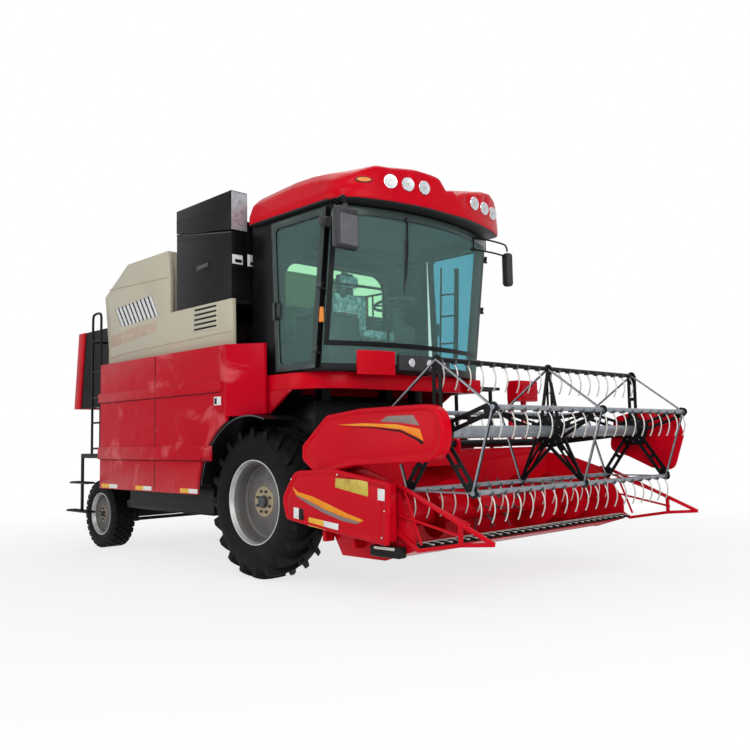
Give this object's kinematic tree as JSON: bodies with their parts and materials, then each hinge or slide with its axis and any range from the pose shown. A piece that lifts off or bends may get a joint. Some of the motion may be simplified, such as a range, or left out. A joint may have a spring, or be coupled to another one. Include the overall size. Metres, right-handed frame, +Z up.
{
  "type": "combine harvester",
  "caption": "Self-propelled wheeled combine harvester with glazed cab, raised grain header and tined reel, grain tank, rear hood and folded unloading auger.",
  "frame": {"origin": "middle of the machine's footprint, on the ground", "axes": "+X forward towards the header, +Y to the machine's left, +Z up"},
  "size_m": [6.305, 3.085, 3.45],
  "materials": {
    "black_paint": "satin",
    "black_plastic": "moulded",
    "chrome_rod": "polished",
    "cream_paint": "gloss",
    "engine_iron": "rough",
    "glass": "tinted",
    "lamp_lens": "clear lens",
    "red_paint": "gloss",
    "reel_grey": "satin grey",
    "rim_silver": "satin silver",
    "seat_fabric": "woven",
    "tyre": "matte"
  },
  "bodies": {
    "root": {"chassis_frame": "black_paint", "side_frames": "black_paint", "drive_axle": "black_paint", "rear_axle": "black_paint", "threshing_housing": "black_paint", "grain_tank": "cream_paint", "side_panels": "red_paint", "upper_panels": "cream_paint", "engine_deck": "black_paint", "engine_block": "engine_iron", "radiator_box": "black_paint", "exhaust_stack": "black_paint", "rear_hood": "red_paint", "rear_ladder": "black_paint", "cab_platform": "red_paint", "entry_steps": "black_paint", "cab_frame": "black_paint", "windscreen": "glass", "cab_roof": "red_paint", "roof_lamps": "lamp_lens", "seat": "seat_fabric", "steering_column": "black_plastic", "console": "black_plastic", "mirrors": "black_paint", "fenders": "black_paint", "spout_base": "red_paint"},
    "header": {"feeder_house": "red_paint", "header_table": "red_paint", "cutter_bar": "black_paint", "crop_dividers": "red_paint", "header_covers": "red_paint"},
    "header_auger": {"header_auger": "red_paint"},
    "reel_frame": {"reel_arms": "black_paint", "reel_cover": "red_paint"},
    "reel": {"reel_spiders": "black_paint"},
    "knuckle_right": {"knuckle_right": "black_paint"},
    "knuckle_left": {"knuckle_left": "black_paint"},
    "tie_rod": {"tie_rod": "black_paint"},
    "door_right": {"door_frame_right": "black_paint", "door_glass_right": "glass"},
    "door_left": {"door_frame_left": "black_paint", "door_glass_left": "glass"},
    "unloader": {"unloading_tube": "red_paint"},
    "ram_barrels": {"lift_barrels": "black_paint"},
    "ram_rods": {"lift_rods": "chrome_rod"},
    "front_wheel_right": {"front_tyre_right": "tyre", "front_rim_right": "rim_silver"},
    "front_wheel_left": {"front_tyre_left": "tyre", "front_rim_left": "rim_silver"},
    "rear_wheel_right": {"rear_tyre_right": "tyre", "rear_rim_right": "rim_silver"},
    "rear_wheel_left": {"rear_tyre_left": "tyre", "rear_rim_left": "rim_silver"},
    "tine_bar_1": {"tine_bar_1": "reel_grey"},
    "tine_bar_2": {"tine_bar_2": "reel_grey"},
    "tine_bar_3": {"tine_bar_3": "reel_grey"},
    "tine_bar_4": {"tine_bar_4": "reel_grey"},
    "tine_bar_5": {"tine_bar_5": "reel_grey"}
  },
  "joints": [
    {"name": "front_wheel_right_spin", "type": "hinge", "parent": "root", "child": "front_wheel_right", "pos_m": [0.6275, -1.1975, 0.645], "axis": [0, 1, 0], "continuous": true},
    {"name": "rear_wheel_right_spin", "type": "hinge", "parent": "knuckle_right", "child": "rear_wheel_right", "pos_m": [-2.4625, -1.1275, 0.377], "axis": [0, 1, 0], "continuous": true},
    {"name": "front_wheel_left_spin", "type": "hinge", "parent": "root", "child": "front_wheel_left", "pos_m": [0.6275, 0.8825, 0.645], "axis": [0, 1, 0], "continuous": true},
    {"name": "rear_wheel_left_spin", "type": "hinge", "parent": "knuckle_left", "child": "rear_wheel_left", "pos_m": [-2.4625, 0.8125, 0.377], "axis": [0, 1, 0], "continuous": true},
    {"name": "steer", "type": "hinge", "parent": "root", "child": "knuckle_left", "pos_m": [-2.4625, 0.6025, 0.377], "axis": [0, 0, 1], "range_deg": [-30, 30]},
    {"name": "steer_right", "type": "hinge", "parent": "root", "child": "knuckle_right", "pos_m": [-2.4625, -0.9175, 0.377], "axis": [0, 0, 1], "range_deg": [-30, 30]},
    {"name": "tie_slide", "type": "slide", "parent": "root", "child": "tie_rod", "axis": [0, -1, 0], "range_m": [-0.0805, 0.0805]},
    {"name": "header_lift", "type": "hinge", "parent": "root", "child": "header", "pos_m": [1.1075, -0.1575, 1.15], "axis": [0, -1, 0], "range_deg": [-13, 8]},
    {"name": "ram_tilt", "type": "hinge", "parent": "root", "child": "ram_barrels", "pos_m": [0.7575, -0.1575, 0.56], "axis": [0, -1, 0], "range_deg": [-7.64, 4.78]},
    {"name": "ram_slide", "type": "slide", "parent": "ram_barrels", "child": "ram_rods", "axis": [0.9997, 0, -0.026], "range_m": [-0.1395, 0.0866]},
    {"name": "reel_lift", "type": "hinge", "parent": "header", "child": "reel_frame", "pos_m": [1.6375, -0.1575, 1.11], "axis": [0, -1, 0], "range_deg": [0, 14]},
    {"name": "reel_spin", "type": "hinge", "parent": "reel_frame", "child": "reel", "pos_m": [2.6275, -0.1575, 1.2], "axis": [0, 1, 0], "continuous": true},
    {"name": "tine_bar_1_turn", "type": "hinge", "parent": "reel", "child": "tine_bar_1", "pos_m": [2.6275, -0.1575, 1.7], "axis": [0, 1, 0], "continuous": true},
    {"name": "tine_bar_2_turn", "type": "hinge", "parent": "reel", "child": "tine_bar_2", "pos_m": [3.10303, -0.1575, 1.35451], "axis": [0, 1, 0], "continuous": true},
    {"name": "tine_bar_3_turn", "type": "hinge", "parent": "reel", "child": "tine_bar_3", "pos_m": [2.92139, -0.1575, 0.79549], "axis": [0, 1, 0], "continuous": true},
    {"name": "tine_bar_4_turn", "type": "hinge", "parent": "reel", "child": "tine_bar_4", "pos_m": [2.33361, -0.1575, 0.79549], "axis": [0, 1, 0], "continuous": true},
    {"name": "tine_bar_5_turn", "type": "hinge", "parent": "reel", "child": "tine_bar_5", "pos_m": [2.15197, -0.1575, 1.35451], "axis": [0, 1, 0], "continuous": true},
    {"name": "auger_spin", "type": "hinge", "parent": "header", "child": "header_auger", "pos_m": [1.9775, -0.1575, 0.6], "axis": [0, 1, 0], "continuous": true},
    {"name": "door_right_swing", "type": "hinge", "parent": "root", "child": "door_right", "pos_m": [1.26458, -1.2025, 1.75], "axis": [0.122, 0, 0.9925], "range_deg": [0, 80]},
    {"name": "door_left_swing", "type": "hinge", "parent": "root", "child": "door_left", "pos_m": [1.26458, 0.8875, 1.75], "axis": [-0.122, 0, -0.9925], "range_deg": [0, 80]},
    {"name": "unloader_swing", "type": "hinge", "parent": "root", "child": "unloader", "pos_m": [-0.7525, 1.1775, 2.76], "axis": [0, 0, -1], "range_deg": [0, 95]}
  ],
  "couplings": [
    {"joint": "steer_right", "follows": "steer", "ratio": 1},
    {"joint": "tie_slide", "follows": "steer", "m_per_rad": 0.15279},
    {"joint": "ram_tilt", "follows": "header_lift", "ratio": 0.57219},
    {"joint": "ram_slide", "follows": "header_lift", "m_per_rad": 0.60609},
    {"joint": "tine_bar_1_turn", "follows": "reel_spin", "ratio": -1},
    {"joint": "tine_bar_2_turn", "follows": "reel_spin", "ratio": -1},
    {"joint": "tine_bar_3_turn", "follows": "reel_spin", "ratio": -1},
    {"joint": "tine_bar_4_turn", "follows": "reel_spin", "ratio": -1},
    {"joint": "tine_bar_5_turn", "follows": "reel_spin", "ratio": -1}
  ]
}
